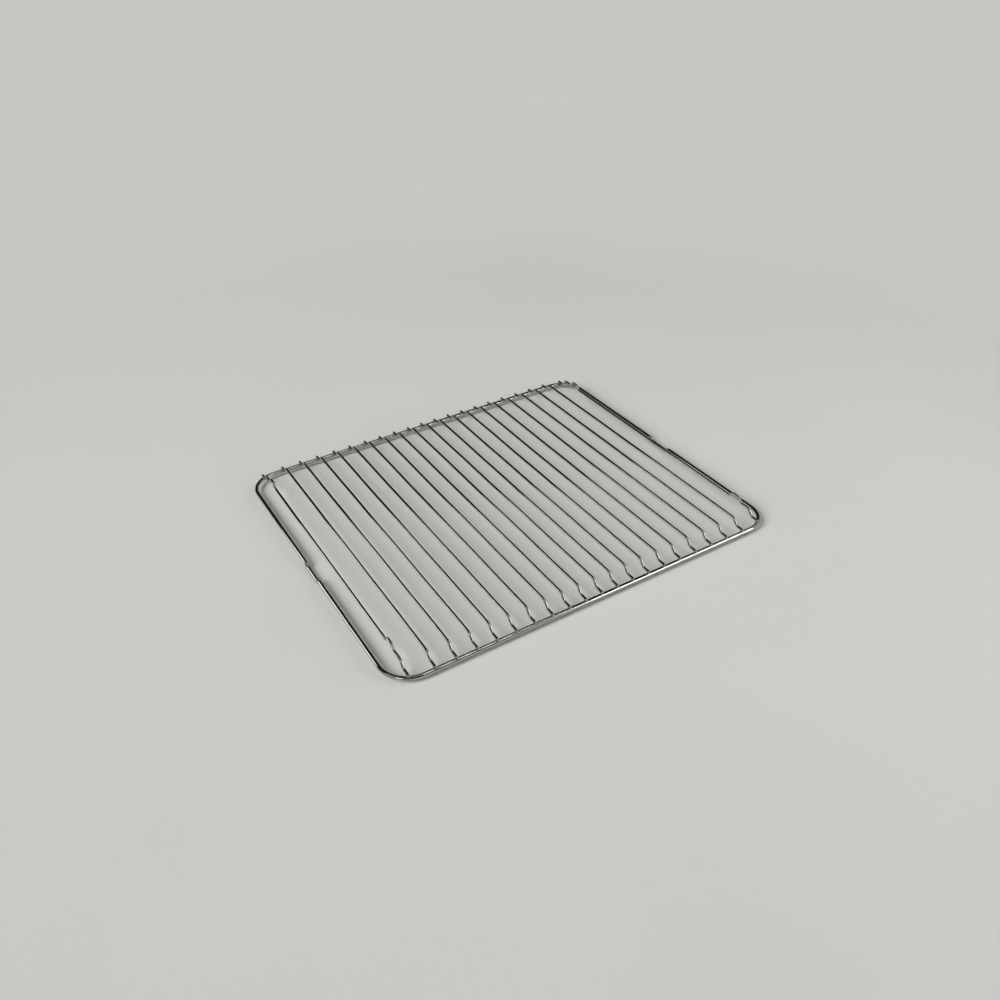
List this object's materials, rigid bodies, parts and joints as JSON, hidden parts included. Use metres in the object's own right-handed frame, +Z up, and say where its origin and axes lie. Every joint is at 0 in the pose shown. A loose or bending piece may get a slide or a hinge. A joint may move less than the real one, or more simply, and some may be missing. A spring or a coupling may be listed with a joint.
{
  "type": "oven shelf rack",
  "caption": "Chromed wire oven shelf: a bent wire frame with cross wires raised on cranked ends, humped guard wires at the sides and a dip in each side rail.",
  "frame": {"origin": "middle of the shelf in plan, on the surface that the dips of the two side rails stand on", "axes": "+X along the front rail to the right, +Y from the front rail to the back rail, +Z up"},
  "size_m": [0.425, 0.358, 0.0219],
  "materials": {
    "chromed_wire": "bright chrome plate on drawn steel wire"
  },
  "bodies": {
    "root": {"outer_frame": "chromed_wire", "left_guard_wire": "chromed_wire", "right_guard_wire": "chromed_wire", "cross_wire_01": "chromed_wire", "cross_wire_02": "chromed_wire", "cross_wire_03": "chromed_wire", "cross_wire_04": "chromed_wire", "cross_wire_05": "chromed_wire", "cross_wire_06": "chromed_wire", "cross_wire_07": "chromed_wire", "cross_wire_08": "chromed_wire", "cross_wire_09": "chromed_wire", "cross_wire_10": "chromed_wire", "cross_wire_11": "chromed_wire", "cross_wire_12": "chromed_wire", "cross_wire_13": "chromed_wire", "cross_wire_14": "chromed_wire", "cross_wire_15": "chromed_wire", "cross_wire_16": "chromed_wire", "cross_wire_17": "chromed_wire", "cross_wire_18": "chromed_wire", "cross_wire_19": "chromed_wire"}
  },
  "joints": []
}
